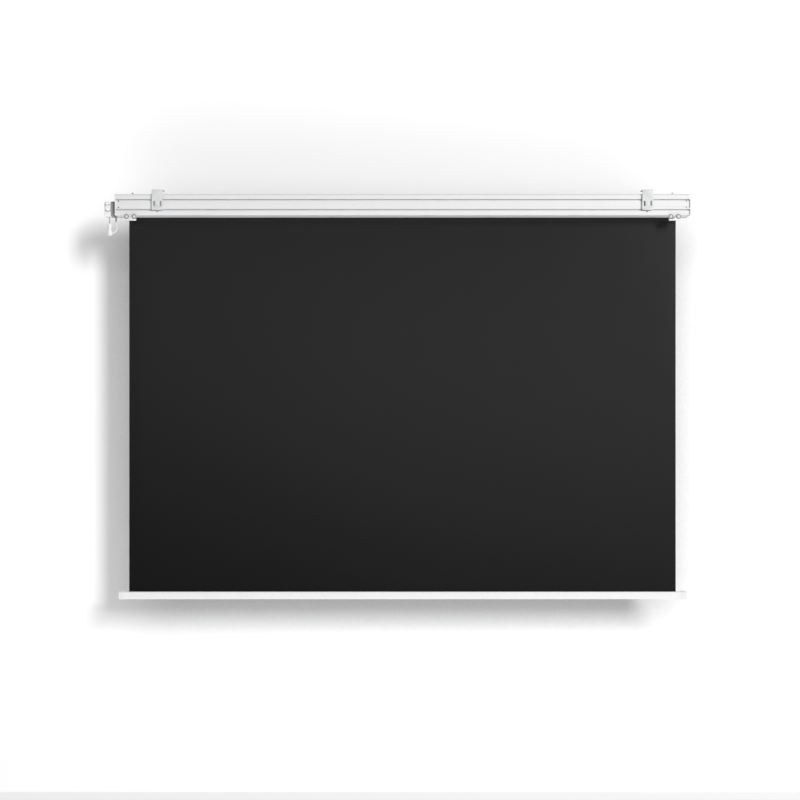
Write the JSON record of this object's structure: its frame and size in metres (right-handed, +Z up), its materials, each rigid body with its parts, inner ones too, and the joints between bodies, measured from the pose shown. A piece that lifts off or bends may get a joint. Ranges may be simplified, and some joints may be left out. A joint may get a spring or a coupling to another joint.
{
  "type": "motorized projector screen",
  "caption": "Wall or ceiling mounted projector screen: a motor in a slim white case rolls black-backed fabric up and down with a weighted bottom bar.",
  "frame": {"origin": "on the wall plane behind the screen, midway between the two brackets, at the height of their wall slots", "axes": "+Z up, +Y away from the wall towards the audience, +X right as seen from the wall side, with the motor head at -X"},
  "size_m": [2.0749, 0.088, 1.4565],
  "materials": {
    "white_coat": "satin white powder coat",
    "white_plastic": "fine matt moulding",
    "grey_coat": "off-white powder coat on sheet steel",
    "dark_plastic": "dark grey moulding",
    "zinc": "zinc plated",
    "steel": "bright",
    "aluminium": "mill",
    "fabric": "black backing, matt white picture side with a black border",
    "cable": "white lead sheath",
    "grey_cable": "thin grey lead sheath"
  },
  "bodies": {
    "case": {"case_shell": "white_coat", "end_cap_left": "white_plastic", "end_cap_right": "white_plastic", "rear_screw_left_upper": "zinc", "rear_screw_left_lower": "zinc", "rear_screw_right_upper": "zinc", "rear_screw_right_lower": "zinc", "top_screw_left": "zinc", "top_screw_right": "zinc", "lower_clip_left": "white_plastic", "lower_clip_right": "white_plastic", "clip_screw_left_1": "white_plastic", "clip_screw_left_2": "white_plastic", "clip_screw_right_1": "white_plastic", "clip_screw_right_2": "white_plastic", "motor_flange": "dark_plastic", "motor_head": "white_plastic", "lead_gland": "dark_plastic", "loop_lead": "cable", "connector_socket": "white_plastic", "connector_plug": "white_plastic", "head_lead": "grey_cable", "screen_fabric": "fabric", "motor_tube": "steel", "motor_bracket": "zinc", "idler_bracket": "zinc", "idler_bearing": "white_plastic", "control_box": "dark_plastic", "inner_lead": "cable", "end_screw_left_1": "zinc", "end_screw_left_2": "zinc", "end_screw_left_3": "zinc", "end_screw_right_1": "zinc", "end_screw_right_2": "zinc", "end_screw_right_3": "zinc"},
    "roller": {"roller_tube": "aluminium", "fabric_strip": "white_plastic", "wound_fabric": "fabric", "motor_shaft": "steel", "drive_wheel": "white_plastic", "limit_ring": "dark_plastic", "idler_plug": "white_plastic", "idler_pin": "steel"},
    "bar": {"bottom_bar": "white_coat", "fabric_keeper": "white_plastic", "weight_rod": "steel", "bar_cap_left": "white_plastic", "bar_cap_right": "white_plastic", "bar_cap_screw_left": "zinc", "bar_cap_screw_right": "zinc"},
    "left_bracket": {"bracket_left": "grey_coat"},
    "right_bracket": {"bracket_right": "grey_coat"},
    "left_jaw": {"clamp_jaw_left": "zinc"},
    "right_jaw": {"clamp_jaw_right": "zinc"},
    "left_clamp_screw": {"clamp_screw_left": "zinc"},
    "right_clamp_screw": {"clamp_screw_right": "zinc"},
    "outer_adjuster": {"limit_adjuster_outer": "dark_plastic"},
    "inner_adjuster": {"limit_adjuster_inner": "dark_plastic"}
  },
  "joints": [
    {"name": "screen_lift", "type": "slide", "parent": "case", "child": "bar", "axis": [0, 0, 1], "range_m": [0, 1.33], "deforming": ["screen_fabric"]},
    {"name": "roller_turn", "type": "hinge", "parent": "case", "child": "roller", "pos_m": [0, 0.0524, -0.01194], "axis": [1, 0, 0], "range_deg": [0, 3110]},
    {"name": "bracket_slide_left", "type": "slide", "parent": "case", "child": "left_bracket", "axis": [1, 0, 0], "range_m": [-0.11, 0.8]},
    {"name": "bracket_slide_right", "type": "slide", "parent": "case", "child": "right_bracket", "axis": [1, 0, 0], "range_m": [-0.8, 0.11]},
    {"name": "clamp_turn_left", "type": "hinge", "parent": "left_bracket", "child": "left_clamp_screw", "pos_m": [-0.8655, 0.005, -0.0229], "axis": [0, 0, 1], "range_deg": [0, 1080]},
    {"name": "clamp_turn_right", "type": "hinge", "parent": "right_bracket", "child": "right_clamp_screw", "pos_m": [0.8655, 0.005, -0.0229], "axis": [0, 0, 1], "range_deg": [0, 1080]},
    {"name": "jaw_lift_left", "type": "slide", "parent": "left_bracket", "child": "left_jaw", "axis": [0, 0, 1], "range_m": [0, 0.0015]},
    {"name": "jaw_lift_right", "type": "slide", "parent": "right_bracket", "child": "right_jaw", "axis": [0, 0, 1], "range_m": [0, 0.0015]},
    {"name": "adjuster_turn_outer", "type": "hinge", "parent": "case", "child": "outer_adjuster", "pos_m": [-1.0514, 0.0307, -0.00169], "axis": [0, 1, 0], "continuous": true},
    {"name": "adjuster_turn_inner", "type": "hinge", "parent": "case", "child": "inner_adjuster", "pos_m": [-1.0404, 0.0307, -0.00169], "axis": [0, 1, 0], "continuous": true}
  ],
  "couplings": [
    {"joint": "roller_turn", "follows": "screen_lift", "rad_per_m": 40.6},
    {"joint": "clamp_turn_left", "follows": "jaw_lift_left", "rad_per_m": 12566},
    {"joint": "clamp_turn_right", "follows": "jaw_lift_right", "rad_per_m": 12566}
  ]
}
